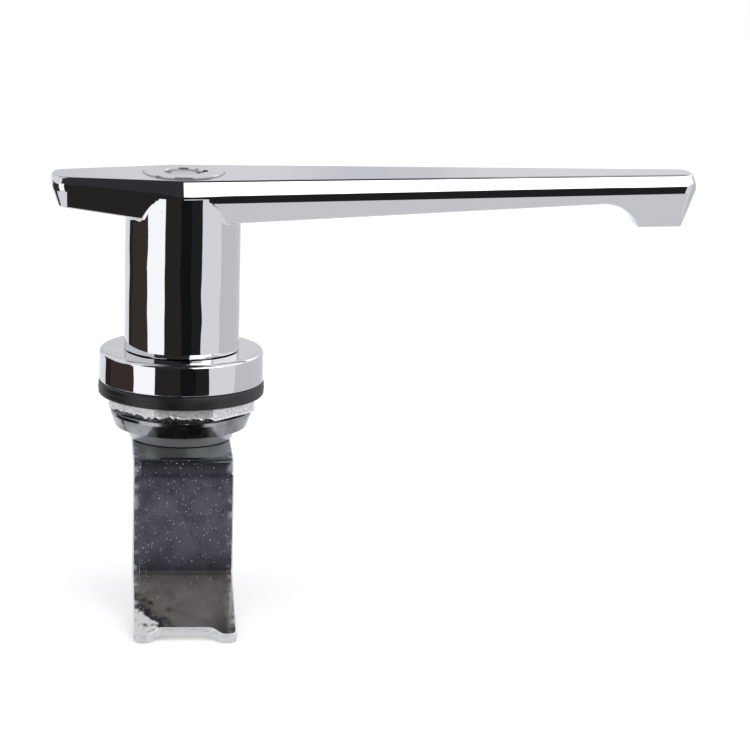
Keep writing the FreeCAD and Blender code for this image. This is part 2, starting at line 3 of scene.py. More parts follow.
import bmesh
import bpy
from mathutils import Matrix, Vector, noise


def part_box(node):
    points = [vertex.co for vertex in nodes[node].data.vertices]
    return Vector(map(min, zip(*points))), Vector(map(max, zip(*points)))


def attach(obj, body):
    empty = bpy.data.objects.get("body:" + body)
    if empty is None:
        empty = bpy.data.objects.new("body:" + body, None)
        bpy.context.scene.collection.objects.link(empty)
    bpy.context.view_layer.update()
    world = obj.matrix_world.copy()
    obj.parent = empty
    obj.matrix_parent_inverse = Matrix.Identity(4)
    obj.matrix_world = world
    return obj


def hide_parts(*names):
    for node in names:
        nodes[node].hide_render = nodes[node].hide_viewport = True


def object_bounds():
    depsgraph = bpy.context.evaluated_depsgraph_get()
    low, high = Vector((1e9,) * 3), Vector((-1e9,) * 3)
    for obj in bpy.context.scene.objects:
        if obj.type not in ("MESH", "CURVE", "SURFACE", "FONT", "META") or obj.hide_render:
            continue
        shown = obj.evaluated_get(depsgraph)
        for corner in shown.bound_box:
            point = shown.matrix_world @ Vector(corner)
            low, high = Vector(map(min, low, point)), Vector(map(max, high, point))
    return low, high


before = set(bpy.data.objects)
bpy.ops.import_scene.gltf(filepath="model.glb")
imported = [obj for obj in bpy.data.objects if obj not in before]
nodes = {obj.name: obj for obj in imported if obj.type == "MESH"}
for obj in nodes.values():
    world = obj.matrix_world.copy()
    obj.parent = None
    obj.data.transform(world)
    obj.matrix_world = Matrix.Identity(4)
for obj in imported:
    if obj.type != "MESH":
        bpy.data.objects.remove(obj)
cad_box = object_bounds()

mm = 0.001


# Camera. It stands 0.63 m in front of the lock, a little above it and to its left, and it is
# rolled by a degree and a half, as in the photograph: the long lever runs off to the right.
camera_target = Vector((38.34, 0.0, 2.94)) * mm
camera_distance = 626.4 * mm
camera_yaw = radians(9.5)
camera_pitch = radians(13.08)
camera_roll = radians(1.5)

forward = Vector((sin(camera_yaw) * cos(camera_pitch), cos(camera_yaw) * cos(camera_pitch),
                  -sin(camera_pitch)))
level = Vector((cos(camera_yaw), -sin(camera_yaw), 0.0))
upright = level.cross(forward)
side = cos(camera_roll) * level + sin(camera_roll) * upright
over = -sin(camera_roll) * level + cos(camera_roll) * upright

lens = bpy.data.cameras.new("camera")
lens.lens = 152.4
lens.sensor_width = 36.0
lens.clip_start = 0.05
lens.clip_end = 20.0
camera = bpy.data.objects.new("camera", lens)
camera.matrix_world = Matrix.Translation(camera_target - camera_distance * forward) @ Matrix(
    (side, over, -forward)).transposed().to_4x4()
bpy.context.scene.collection.objects.link(camera)
bpy.context.scene.camera = camera
bpy.context.scene.view_settings.view_transform = "Standard"


# Studio. A plain white table in a white room, one large soft box in front and one above, and a
# ring of cards far off round the lock. Bright chrome mirrors the front box, the cards and the room.
def linear(code):
    """Linear colour from an sRGB hex value, or the grey of a linear share."""
    if isinstance(code, float):
        return (code, code, code, 1.0)
    shares = [int(code[i:i + 2], 16) / 255 for i in (0, 2, 4)]
    return tuple(s / 12.92 if s <= 0.04045 else ((s + 0.055) / 1.055) ** 2.4 for s in shares) + (1.0,)


def add(tree, kind, inputs=None, stops=(), **settings):
    """One node with its settings. An input goes by its name, or by its number where names repeat. It
    is a value, an output that is linked to it, or a node that gives its first output. The stops are
    a colour ramp's places and colours."""
    made = tree.nodes.new("ShaderNode" + kind)
    for name, value in settings.items():
        setattr(made, name, value)
    for name, value in (inputs or {}).items():
        source = value.outputs[0] if isinstance(value, bpy.types.Node) else value
        if isinstance(source, bpy.types.NodeSocket):
            tree.links.new(source, made.inputs[name])
        else:
            made.inputs[name].default_value = source
    if stops:
        ramp = made.color_ramp.elements
        ramp.remove(ramp[1])
        ramp[0].position, ramp[0].color = stops[0][0], linear(stops[0][1])
        for position, code in stops[1:]:
            ramp.new(position).color = linear(code)
    return made


def empty_material(name):
    material = bpy.data.materials.new(name)
    material.use_nodes = True
    material.node_tree.nodes.clear()
    return material, material.node_tree


def shown(tree):
    """One where the camera, a mirror or glass shows a surface, none where it only lights others."""
    ray = add(tree, "LightPath").outputs
    seen = add(tree, "Math", {0: ray["Is Camera Ray"], 1: ray["Is Glossy Ray"]}, operation="ADD")
    return add(tree, "Math", {0: seen, 1: ray["Is Transmission Ray"]}, operation="ADD", use_clamp=True)


room_white = "FAFBFF"
room_level = 0.70

world = bpy.data.worlds.new("white_room")
bpy.context.scene.world = world
world.use_nodes = True
tree = world.node_tree
tree.nodes.clear()
strength = add(tree, "MapRange", {"Value": shown(tree), "To Min": room_level, "To Max": 1.0})
room = add(tree, "Background", {"Color": linear(room_white), "Strength": strength})
add(tree, "OutputWorld", {"Surface": room})

table_level = cad_box[0].z
table_size = 6.0
table_lift = 0.30
table_paint, tree = empty_material("matt_white_table")
glow = add(tree, "MapRange", {"Value": shown(tree), "To Min": 0.0, "To Max": table_lift})
paint = add(tree, "BsdfDiffuse", {"Color": linear("F2F2F2")})
lift = add(tree, "Emission", {"Color": linear("FFFFFF"), "Strength": glow})
both = add(tree, "AddShader", {0: paint, 1: lift})
add(tree, "OutputMaterial", {"Surface": both})


def stage_mesh(name, points, faces, material):
    mesh = bpy.data.meshes.new(name)
    mesh.from_pydata(points, [], faces)
    mesh.materials.append(material)
    made = bpy.data.objects.new(name, mesh)
    bpy.context.scene.collection.objects.link(made)
    return made


square = ((-1, -1), (1, -1), (1, 1), (-1, 1))
corners = [(x * table_size / 2, y * table_size / 2, table_level) for x, y in square]
table = stage_mesh("table", corners, [(0, 1, 2, 3)], table_paint)
# The cards alone stand for what lies round the lock, so the metal doesn't mirror the table
table.visible_glossy = False

sphere_height = 30.0 * mm
card_distance = 4.0


def on_sphere(azimuth, elevation, radius):
    """Point round the lock. Azimuth 0 is in front, positive to the right."""
    a, e = radians(azimuth), radians(elevation)
    return (radius * sin(a) * cos(e), -radius * cos(a) * cos(e), sphere_height + radius * sin(e))


def card(name, start, end, low, high, code, radiance=1.0):
    """Curved card between two azimuths and two elevations. Reflections alone see it at first."""
    step = 6.0
    across = max(1, ceil((end - start) / step))
    up = max(1, ceil((high - low) / step))
    points = [on_sphere(start + (end - start) * i / across, low + (high - low) * j / up, card_distance)
              for j in range(up + 1) for i in range(across + 1)]
    row = across + 1
    faces = [(j * row + i, j * row + i + 1, (j + 1) * row + i + 1, (j + 1) * row + i)
             for j in range(up) for i in range(across)]
    material, tree = empty_material(name + "_paint")
    paint = add(tree, "Emission", {"Color": linear(code), "Strength": radiance})
    add(tree, "OutputMaterial", {"Surface": paint})
    made = stage_mesh(name, points, faces, material)
    for ray in ("camera", "diffuse", "shadow", "transmission", "volume_scatter"):
        setattr(made, "visible_" + ray, False)
    return made


card("brown_card_far_left", -138, -124, -34, 5, "2E2B28")
card("brown_card_left", -124, -77, -34, 5, "413934")
card("white_card_left", -77, -41, -34, 12, "FFFFFF", 1.40)
card("black_card_front_left", -41, -9, -60, 12, "2E2C2A")
card("black_card_front", -9, 12, -43, 12, "19191A")
card("black_card_front_right", 12, 33, -43, 10, "272728")
card("grey_card_upper_left", -62, 10, 12, 74, "39393E")
card("grey_card_over_soft_box", 10, 60, 42, 74, "242428")
card("grey_card_overhead", -180, 180, 74, 89, "2E2E32")
card("grey_card_behind_overhead", 115, 245, 45, 74, "76777C")
card("pale_card_low", -9, 62, -86, -43, "EAEAEC")
card("pale_card_right", 74, 152, -50, 8, "DFE0E3")
card("white_card_upper_right", 62, 135, 12, 42, "FFFFFF", 1.50)
# A white card that lights the matt pieces from the left, and isn't mirrored
fill_card = card("white_fill_card_left", -100, -41, -34, 20, "FFFFFF", 2.0)
fill_card.visible_glossy = False
fill_card.visible_diffuse = True

# The wall behind is what the lever's flat top mirrors. It is unevenly lit: brighter behind the
# hub and behind the tip than behind the arm and the heel.
back_card = card("pale_card_behind", 145, 205, -5, 38, "FFFFFF")
wall_left = 0.20
wall_right = 0.95
tree = back_card.data.materials[0].node_tree
spot = add(tree, "SeparateXYZ", {"Vector": add(tree, "TexCoord").outputs["Object"]}).outputs
across = add(tree, "MapRange", {"Value": spot["X"], "From Min": wall_left, "From Max": wall_right})
wall_tone = add(tree, "ValToRGB", {"Fac": across}, stops=(
    (0.0, "DADCE0"), (0.20, "E3E5E8"), (0.42, "E6E7EC"), (0.62, "D6D8DE"), (0.73, "DBDCE1"), (0.86, "E8E9ED"),
    (1.0, "E9EAEE")))
wall_tone.color_ramp.interpolation = "EASE"
tree.links.new(wall_tone.outputs[0], tree.nodes["Emission"].inputs["Color"])


def soft_box(name, centre, aim, width, height, radiance):
    lamp = bpy.data.lights.new(name, "AREA")
    lamp.shape = "RECTANGLE"
    lamp.size = width
    lamp.size_y = height
    lamp.energy = radiance * pi * width * height
    made = bpy.data.objects.new(name, lamp)
    made.location = centre
    made.rotation_mode = "QUATERNION"
    made.rotation_quaternion = (Vector(aim) - Vector(centre)).to_track_quat("-Z", "Y")
    made.visible_camera = False
    bpy.context.scene.collection.objects.link(made)
    return made


soft_box("front_soft_box", on_sphere(33, 26, 1.6), (0.04, 0.0, 0.03), width=1.45, height=0.84, radiance=1.6)
top_box = soft_box("top_soft_box", (0.02, 0.15, 1.2), (0.04, 0.0, 0.0), width=1.0, height=0.8, radiance=1.1)
top_box.visible_glossy = False


# Mounting body. One zinc die casting holds the round flange, the socket for the lever and the
# barrel that goes through the door. It is polished and chrome plated.
def pattern_material(name):
    """New material, its node tree and the place on the piece by which its patterns go."""
    material, tree = empty_material(name)
    return material, tree, add(tree, "TexCoord").outputs["Object"]


# Decorative chrome on polished zinc: a hard, slightly cool mirror. Polishing by hand leaves long
# low waves in it, stronger on the round neck than on the flat arm, a faint haze and a few pinholes.
# Below the flange the barrel is only turned, so it is satin there, with the cutter's rings.
chrome_plate, tree, here = pattern_material("decorative_chrome_plate")
wave_length = 13.0 * mm
wave_height = 0.48 * mm
arm_underside = 32.0 * mm
wave_fade = 6.0 * mm
arm_share = 0.24
haze_patch = 6.0 * mm
pinhole_spacing = 5.0 * mm
pinhole_share = 0.045
turned_below = -0.2 * mm
ring_pitch = 0.3 * mm
wave = add(tree, "TexNoise", {"Vector": here, "Scale": 1 / wave_length, "Detail": 1.0})
patch = add(tree, "TexNoise", {"Vector": here, "Scale": 1 / haze_patch, "Detail": 4.0})
haze = add(tree, "MapRange", {"Value": patch, "From Min": 0.35, "From Max": 0.72,
                              "To Min": 0.015, "To Max": 0.05})
holes = add(tree, "TexVoronoi", {"Vector": here, "Scale": 1 / pinhole_spacing})
hole = add(tree, "MapRange", {"Value": holes, "From Min": 0.5 * pinhole_share,
                              "From Max": pinhole_share, "To Min": 1.0, "To Max": 0.0})
spot = add(tree, "SeparateXYZ", {"Vector": here}).outputs
lathe = add(tree, "Math", {0: spot["Z"], 1: turned_below}, operation="LESS_THAN")
level = add(tree, "Math", {0: spot["Z"], 1: 2 * pi / ring_pitch}, operation="MULTIPLY")
ring = add(tree, "Math", {0: level}, operation="SINE")
ring_cut = add(tree, "Math", {0: ring, 1: lathe}, operation="MULTIPLY")
polish = add(tree, "MapRange", {"Value": hole, "To Min": haze, "To Max": 0.6})
rough = add(tree, "MapRange", {"Value": lathe, "To Min": polish, "To Max": 0.3})
metal = add(tree, "MapRange", {"Value": lathe, "To Min": 1.0, "To Max": 0.6})
hand = add(tree, "MapRange", {"Value": spot["Z"], "From Min": arm_underside - wave_fade,
                              "From Max": arm_underside, "To Min": 1.0, "To Max": arm_share})
swell = add(tree, "Math", {0: wave, 1: hand}, operation="MULTIPLY")
long_waves = add(tree, "Bump", {"Height": swell, "Strength": 1.0, "Distance": wave_height})
pits = add(tree, "Bump", {"Height": hole, "Strength": 0.5, "Distance": 0.03 * mm,
                          "Normal": long_waves}, invert=True)
grooves = add(tree, "Bump", {"Height": ring_cut, "Strength": 0.3, "Distance": 0.02 * mm, "Normal": pits})
surface = add(tree, "BsdfPrincipled", {"Base Color": linear("D3D4D7"), "Metallic": metal,
                                       "Roughness": rough, "Normal": grooves})
add(tree, "OutputMaterial", {"Surface": surface})


def dress(material, *names):
    """Give CAD nodes one material."""
    for name in names:
        mesh = nodes[name].data
        mesh.materials.clear()
        mesh.materials.append(material)


dress(chrome_plate, "mounting_body")


# Thrust washer and stop pin. The washer is moulded nylon and lies under the lever's journal, in
# the socket. The pin is a hardened steel dowel pressed in beside it.

# Moulded nylon: milky, with soft flow marks and a low gloss.
nylon, tree, here = pattern_material("moulded_nylon")
flow_mark = 3.0 * mm
flow = add(tree, "TexNoise", {"Vector": here, "Scale": 1 / flow_mark, "Detail": 4.0, "Distortion": 0.6})
tone = add(tree, "ValToRGB", {"Fac": flow}, stops=((0.3, "D9D6CC"), (0.7, "EAE8E0")))
grain = add(tree, "Bump", {"Height": flow, "Strength": 0.2, "Distance": 0.05 * mm})
surface = add(tree, "BsdfPrincipled", {"Base Color": tone, "Roughness": 0.42, "IOR": 1.53, "Normal": grain})
add(tree, "OutputMaterial", {"Surface": surface})
dress(nylon, "thrust_washer")

# Hardened spring steel, tumbled and oiled: grey-brown, with fine random scratches.
spring_steel, tree, here = pattern_material("oiled_spring_steel")
scratch_spacing = 0.4 * mm
stretch = add(tree, "Mapping", {"Vector": here, "Scale": (1.0, 6.0, 1.0)})
scratch = add(tree, "TexNoise", {"Vector": stretch, "Scale": 1 / (6 * scratch_spacing), "Detail": 5.0,
                                 "Distortion": 1.2})
tone = add(tree, "ValToRGB", {"Fac": scratch}, stops=((0.3, "77746F"), (0.75, "A3A19D")))
rough = add(tree, "MapRange", {"Value": scratch, "From Min": 0.3, "From Max": 0.7,
                               "To Min": 0.2, "To Max": 0.38})
relief = add(tree, "Bump", {"Height": scratch, "Strength": 0.25, "Distance": 0.02 * mm})
surface = add(tree, "BsdfPrincipled", {"Base Color": tone, "Metallic": 1.0,
                                       "Roughness": rough, "Normal": relief})
add(tree, "OutputMaterial", {"Surface": surface})
dress(spring_steel, "stop_pin")


# Gasket. A flat ring of moulded rubber under the flange, squeezed a little by the nut, with its
# mould's parting line round the middle of the rim.
def piece(name, points, faces, material, body, replaced, sharp=35.0):
    """A new mesh piece in metres, smooth but for edges sharper than an angle."""
    mesh = bpy.data.meshes.new(name)
    mesh.from_pydata(points, [], faces)
    shape = bmesh.new()
    shape.from_mesh(mesh)
    bmesh.ops.recalc_face_normals(shape, faces=shape.faces)
    shape.to_mesh(mesh)
    shape.free()
    mesh.shade_smooth()
    mesh.set_sharp_from_angle(angle=radians(sharp))
    mesh.materials.append(material)
    made = bpy.data.objects.new(name, mesh)
    bpy.context.scene.collection.objects.link(made)
    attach(made, body)
    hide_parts(replaced)
    return made


def turned(profile, steps):
    """Points and faces of a closed profile of (radius, height) turned about the lock's axis."""
    points = []
    for k in range(steps):
        a = 2 * pi * k / steps
        points += [(r * cos(a), r * sin(a), z) for r, z in profile]
    n = len(profile)
    faces = [(k * n + i, (k + 1) % steps * n + i, (k + 1) % steps * n + (i + 1) % n, k * n + (i + 1) % n)
             for k in range(steps) for i in range(n)]
    return points, faces


# Black rubber: nearly black and slightly blue, soft shine on its rounded edges, a fine mould
# grain and a little chalky dust.
rubber, tree, here = pattern_material("moulded_black_rubber")
mould_grain = 0.35 * mm
dust_patch = 5.0 * mm
grain = add(tree, "TexNoise", {"Vector": here, "Scale": 1 / mould_grain, "Detail": 2.0})
dust = add(tree, "TexNoise", {"Vector": here, "Scale": 1 / dust_patch, "Detail": 6.0, "Roughness": 0.7})
tone = add(tree, "ValToRGB", {"Fac": dust}, stops=((0.45, "0E0F13"), (0.8, "2B2D31")))
rough = add(tree, "MapRange", {"Value": dust, "From Min": 0.3, "From Max": 0.8,
                               "To Min": 0.34, "To Max": 0.62})
relief = add(tree, "Bump", {"Height": grain, "Strength": 0.22, "Distance": 0.05 * mm})
surface = add(tree, "BsdfPrincipled", {"Base Color": tone, "Roughness": rough, "IOR": 1.52, "Normal": relief})
add(tree, "OutputMaterial", {"Surface": surface})

low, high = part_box("gasket")
rim_radius = high.x - 0.07 * mm
gasket_bore = 11.1 * mm
edge_round = 0.45 * mm
parting_ridge = 0.06 * mm
parting_half = 0.09 * mm
middle = (low.z + high.z) / 2


def edge_arc(start, level):
    """Seven points round one edge of the rim, a quarter turn on from an angle."""
    turns = [radians(start + 15 * k) for k in range(7)]
    return [(rim_radius - edge_round + edge_round * cos(t), level + edge_round * sin(t)) for t in turns]


profile = [(gasket_bore, low.z)] + edge_arc(-90, low.z + edge_round)
profile += [(rim_radius, middle - parting_half), (rim_radius + parting_ridge, middle - 0.3 * parting_half),
            (rim_radius + parting_ridge, middle + 0.3 * parting_half), (rim_radius, middle + parting_half)]
profile += edge_arc(0, high.z - edge_round) + [(gasket_bore, high.z)]
points, faces = turned(profile, 160)
piece("gasket_ring", points, faces, rubber, "base", "gasket")


# Octagonal nut. A zinc casting with eight flats and a rough skirt below them, where the casting's
# flash was broken off in a ragged line. It is tapped to go on the barrel.
def flats_radius(angle, across_flats, sides, set_angle=0.0):
    """Distance from the axis to the flats at one angle. The flats face the axes."""
    sector = 2 * pi / sides
    turn = (angle - radians(set_angle) + sector / 2) % sector - sector / 2
    return across_flats / 2 / cos(turn)


def angles(count, start=0.0):
    """Even angles all the way round, half a step off a start in degrees."""
    return [2 * pi * (k + 0.5) / count + radians(start) for k in range(count)]


def ring_row(turns, radii, level):
    """Row of points about the lock's axis, of one radius or of one for each angle."""
    if isinstance(radii, float):
        radii = [radii] * len(turns)
    return [(r * cos(a), r * sin(a), level) for a, r in zip(turns, radii)]


def rows_to_mesh(rows, shut=False):
    """Points and faces of closed rows of as many points each, and a face on both ends if shut."""
    n = len(rows[0])
    points = [p for row in rows for p in row]
    faces = [(j * n + i, j * n + (i + 1) % n, (j + 1) * n + (i + 1) % n, (j + 1) * n + i)
             for j in range(len(rows) - 1) for i in range(n)]
    if shut:
        faces += [tuple(reversed(range(n))), tuple(range(len(points) - n, len(points)))]
    return points, faces


# Bright zinc plate on the casting's flats: pale and a little cloudy, with fine grain. On the left
# side it is made matt instead of metal, so that it shows brighter there: painted light.
cast_zinc, tree, here = pattern_material("plated_zinc_casting")
cast_grain = 0.45 * mm
cloud_patch = 2.5 * mm
painted_light_matt_to = -7.5 * mm
painted_light_metal_from = -5.0 * mm
pits = add(tree, "TexNoise", {"Vector": here, "Scale": 1 / cast_grain, "Detail": 3.0, "Roughness": 0.6})
cloud = add(tree, "TexNoise", {"Vector": here, "Scale": 1 / cloud_patch, "Detail": 3.0})
tone = add(tree, "ValToRGB", {"Fac": pits}, stops=((0.25, "B2B5B7"), (0.6, "F1F2F2")))
rough = add(tree, "MapRange", {"Value": cloud, "From Min": 0.35, "From Max": 0.65,
                               "To Min": 0.22, "To Max": 0.42})
spot = add(tree, "SeparateXYZ", {"Vector": here}).outputs
# Painted light: the left flats lose their metal, so that the fill light makes them brighter.
metal = add(tree, "MapRange", {"Value": spot["X"], "From Min": painted_light_matt_to, "From Max": painted_light_metal_from,
                               "To Min": 0.0, "To Max": 0.55})
relief = add(tree, "Bump", {"Height": pits, "Strength": 0.3, "Distance": 0.07 * mm})
surface = add(tree, "BsdfPrincipled", {"Base Color": tone, "Metallic": metal,
                                       "Roughness": rough, "Normal": relief})
add(tree, "OutputMaterial", {"Surface": surface})

# The skirt where the flash was broken off is torn zinc: dark grey, coarse, with bright crumbs.
torn_zinc, tree, here = pattern_material("torn_zinc_casting")
crumb = 0.35 * mm
pits = add(tree, "TexNoise", {"Vector": here, "Scale": 1 / crumb, "Detail": 4.0, "Roughness": 0.7})
tone = add(tree, "ValToRGB", {"Fac": pits}, stops=((0.45, "3E4042"), (0.72, "B4B6B7")))
relief = add(tree, "Bump", {"Height": pits, "Strength": 0.8, "Distance": 0.15 * mm})
surface = add(tree, "BsdfPrincipled", {"Base Color": tone, "Metallic": 0.8, "Roughness": 0.42,
                                       "Normal": relief})
add(tree, "OutputMaterial", {"Surface": surface})

low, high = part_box("octagonal_nut")
nut_across = 28.0 * mm
nut_set = -4.0
nut_bore = 11.02 * mm
skirt_top = high.z - 2.0 * mm
skirt_step = 0.22 * mm
skirt_draft = 0.4 * mm
burr = 0.12 * mm
foot_round = 0.3 * mm
clean_middle = radians(330.0)
clean_half = radians(41.5)
clean_fade = radians(3.0)
clean_drop = 0.5 * mm
fine_tear = 0.8 * mm
coarse_tear = 2.6 * mm
dent_spacing = 0.9 * mm
noise_level = 0.37
columns = 512
nut_turns = angles(columns, nut_set)


def ragged(angle, spacing):
    """Uneven line round the nut, between -1 and 1."""
    reach = nut_across / 2 / spacing
    return noise.noise(Vector((reach * cos(angle), reach * sin(angle), noise_level)))


def torn_share(angle):
    """One where the flash tore, none over the flats where it came off clean."""
    off = abs((angle - clean_middle + pi) % (2 * pi) - pi)
    return min(1.0, max(0.0, (off - clean_half) / clean_fade + 0.5))


def nut_row(depth_in, level, level_wobble=0.0, wobble=0.0, drop=0.0):
    """Row of points round the flats, which wobbles where the flash tore and drops where it is clean."""
    row = []
    for a in nut_turns:
        torn = torn_share(a)
        r = flats_radius(a, nut_across, 8, nut_set) - depth_in - torn * wobble * abs(ragged(a, dent_spacing))
        lift = ragged(a, fine_tear) + 0.6 * ragged(a, coarse_tear)
        z = level + torn * level_wobble * lift - (1 - torn) * drop
        row.append((r * cos(a), r * sin(a), z))
    return row


bore_top, bore_foot = (ring_row(nut_turns, nut_bore, level) for level in (high.z, low.z))
rows = [bore_top, nut_row(0.3 * mm, high.z), nut_row(0.05 * mm, high.z - 0.1 * mm),
        nut_row(0.0, high.z - 0.3 * mm), nut_row(0.0, skirt_top + 0.45 * mm, 0.3 * mm, 0.0, clean_drop),
        nut_row(-0.4 * burr, skirt_top + 0.2 * mm, 0.45 * mm, 0.0, clean_drop),
        nut_row(-burr, skirt_top + 0.05 * mm, 0.55 * mm, 0.0, clean_drop),
        nut_row(0.0, skirt_top, 0.55 * mm, 0.0, clean_drop),
        nut_row(skirt_step, skirt_top - 0.02 * mm, 0.5 * mm, 0.2 * mm, clean_drop),
        nut_row(skirt_step + 0.4 * skirt_draft, skirt_top - 0.3 * mm, 0.15 * mm, 0.3 * mm, 0.6 * clean_drop),
        nut_row(skirt_step + skirt_draft, low.z + foot_round, 0.0, 0.2 * mm),
        nut_row(skirt_step + skirt_draft + foot_round, low.z, 0.0, 0.1 * mm), bore_foot, bore_top]
points, faces = rows_to_mesh(rows)
nut = piece("octagonal_nut_casting", points, faces, cast_zinc, "base", "octagonal_nut",
            sharp=28.0)
nut.data.materials.append(torn_zinc)
torn_from_row = 7
for face in nut.data.polygons:
    face.material_index = 1 if torn_from_row <= face.index // columns < len(rows) - 2 else 0


# Lock ring. A round steel ring turned from bar and screwed up against the nut, so that it can't
# work loose.

# Dark nickel-chrome plate over turning marks: deep grey, with fine level lines and oily stains.
dark_chrome, tree, here = pattern_material("dark_plated_turned_steel")
turning_pitch = 1.382 * mm
oil_patch = 3.5 * mm
# A wave texture turns by 20 radians a unit
cut = add(tree, "TexWave", {"Vector": here, "Scale": 2 * pi / (20 * turning_pitch),
                            "Distortion": 0.4, "Detail": 2.0, "Detail Scale": 3.0}, bands_direction="Z")
oil = add(tree, "TexNoise", {"Vector": here, "Scale": 1 / oil_patch, "Detail": 4.0})
tone = add(tree, "ValToRGB", {"Fac": oil}, stops=((0.35, "86878A"), (0.7, "AEB0B2")))
rough = add(tree, "MapRange", {"Value": oil, "From Min": 0.35, "From Max": 0.7,
                               "To Min": 0.10, "To Max": 0.24})
relief = add(tree, "Bump", {"Height": cut.outputs["Fac"], "Strength": 0.12, "Distance": 0.03 * mm})
surface = add(tree, "BsdfPrincipled", {"Base Color": tone, "Metallic": 1.0,
                                       "Roughness": rough, "Normal": relief})
add(tree, "OutputMaterial", {"Surface": surface})
dress(dark_chrome, "lock_ring")


# Lever. One zinc die casting: the long arm with its finger stop, the neck, and inside the body
# the journal, spindle and square. Polished all over and chrome plated like the flange.
dress(chrome_plate, "lever")


# O-ring and retaining ring. The O-ring seals the spindle in the barrel. The ring, punched from
# spring steel, snaps in a groove and keeps the lever from being pulled out.

# Nitrile rubber under grease: black with a wet, uneven shine.
greased_rubber, tree, here = pattern_material("greased_nitrile_rubber")
grease_patch = 1.6 * mm
grease = add(tree, "TexNoise", {"Vector": here, "Scale": 1 / grease_patch, "Detail": 3.0})
rough = add(tree, "MapRange", {"Value": grease, "From Min": 0.35, "From Max": 0.7,
                               "To Min": 0.08, "To Max": 0.45})
relief = add(tree, "Bump", {"Height": grease, "Strength": 0.3, "Distance": 0.05 * mm})
surface = add(tree, "BsdfPrincipled", {"Base Color": linear("191715"), "Roughness": rough,
                                       "IOR": 1.5, "Normal": relief})
add(tree, "OutputMaterial", {"Surface": surface})
dress(greased_rubber, "journal_o_ring")
dress(spring_steel, "retaining_ring")


# Cam. Steel strip, 2 mm thick, punched with a square hole for the lever's square and bent twice:
# down in front of the barrel and forward again as the tab that grips behind the frame.

# Bright zinc plate on rolled strip, handled: a dim mirror under a thin chalky film, bluish on the drop
# and brown on the tab. The top plate under the ring is a darker green-grey: painted shade. It has
# pin-sized bright specks, a few scratches, and pale patches along its edges, partly worn plate and
# partly painted highlight. The tab's left corner is painted white, a painted reflection, with a darker
# band round it, and its right corner is darker: painted shade.
zinc_strip, tree, here = pattern_material("zinc_plated_steel_strip")
speck_spacing = 0.58 * mm
film_patch = 3.2 * mm
wear_and_highlight_patch = 2.2 * mm
film_start = -8.0 * mm
film_end = -39.0 * mm
plate_bend_start = -9.2 * mm
plate_bend_end = -10.2 * mm
scratch_width = 0.2 * mm
scratch_length = 5.0 * mm
scratch_lean = 0.35
tab_level = -31.0 * mm
tab_reach = 40.6 * mm
cam_half = 9.6 * mm
painted_reflection_width = 4.8 * mm
painted_reflection_length = 8.4 * mm
painted_shade_width = 7.0 * mm
painted_shade_length = 9.0 * mm
strip_turn = radians(4.0)
strip = add(tree, "Mapping", {"Vector": here, "Rotation": (0.0, 0.0, strip_turn)})
spot = add(tree, "SeparateXYZ", {"Vector": strip}).outputs
cells = add(tree, "TexVoronoi", {"Vector": strip, "Scale": 1 / speck_spacing})
picked = add(tree, "SeparateColor", {"Color": cells.outputs["Color"]}).outputs
size = add(tree, "MapRange", {"Value": picked["Red"], "From Min": 0.2, "From Max": 1.0,
                              "To Min": 0.05, "To Max": 0.26})
dot = add(tree, "Math", {0: cells, 1: size}, operation="LESS_THAN")
glint = add(tree, "Math", {0: picked["Green"], 1: 1.8}, operation="POWER")
off_tab = add(tree, "MapRange", {"Value": spot["Z"], "From Min": tab_level,
                                 "From Max": tab_level + 2.5 * mm, "To Min": 0.06})
glint_here = add(tree, "Math", {0: glint, 1: off_tab}, operation="MULTIPLY")
speck = add(tree, "Math", {0: dot, 1: glint_here}, operation="MULTIPLY")
cloud = add(tree, "TexNoise", {"Vector": strip, "Scale": 1 / film_patch, "Detail": 6.0, "Roughness": 0.6})
along = add(tree, "Mapping", {"Vector": strip, "Rotation": (0.0, scratch_lean, 0.0),
                              "Scale": (1 / scratch_width, 1 / scratch_length, 1 / scratch_length)})
lines = add(tree, "TexNoise", {"Vector": along, "Scale": 1.0, "Detail": 2.0})
scratch = add(tree, "MapRange", {"Value": lines, "From Min": 0.69, "From Max": 0.77, "To Max": 0.5})
mark = add(tree, "Math", {0: speck, 1: scratch}, operation="MAXIMUM")
on_tab = add(tree, "MapRange", {"Value": spot["Z"], "From Min": tab_level + 0.8 * mm,
                                "From Max": tab_level + 0.2 * mm})
down = add(tree, "MapRange", {"Value": spot["Z"], "From Min": film_start, "From Max": film_end})
film_share = add(tree, "ValToRGB", {"Fac": down}, stops=(
    (0.0, 0.02), (0.10, 0.03), (0.15, 0.14), (0.40, 0.19), (0.58, 0.17), (0.65, 0.12), (0.71, 0.05),
    (0.735, 0.05), (0.76, 0.15), (1.0, 0.17)))
uneven = add(tree, "MapRange", {"Value": cloud, "From Min": 0.36, "From Max": 0.62,
                                "To Min": 0.65, "To Max": 1.2})
whole_film = add(tree, "Math", {0: film_share, 1: uneven}, operation="MULTIPLY")
off_middle = add(tree, "Math", {0: spot["X"]}, operation="ABSOLUTE")
near_edge = add(tree, "MapRange", {"Value": off_middle, "From Min": cam_half - 1.8 * mm,
                                   "From Max": cam_half + 0.2 * mm})
# Pale patches along both long edges: partly worn plate, partly painted highlight.
wear_and_highlight_noise = add(tree, "TexNoise", {"Vector": strip, "Scale": 1 / wear_and_highlight_patch, "Detail": 4.0})
worn_and_highlit = add(tree, "MapRange", {"Value": wear_and_highlight_noise, "From Min": 0.42, "From Max": 0.62, "To Max": 0.7})
worn_and_highlit_edge = add(tree, "Math", {0: worn_and_highlit, 1: near_edge}, operation="MULTIPLY")
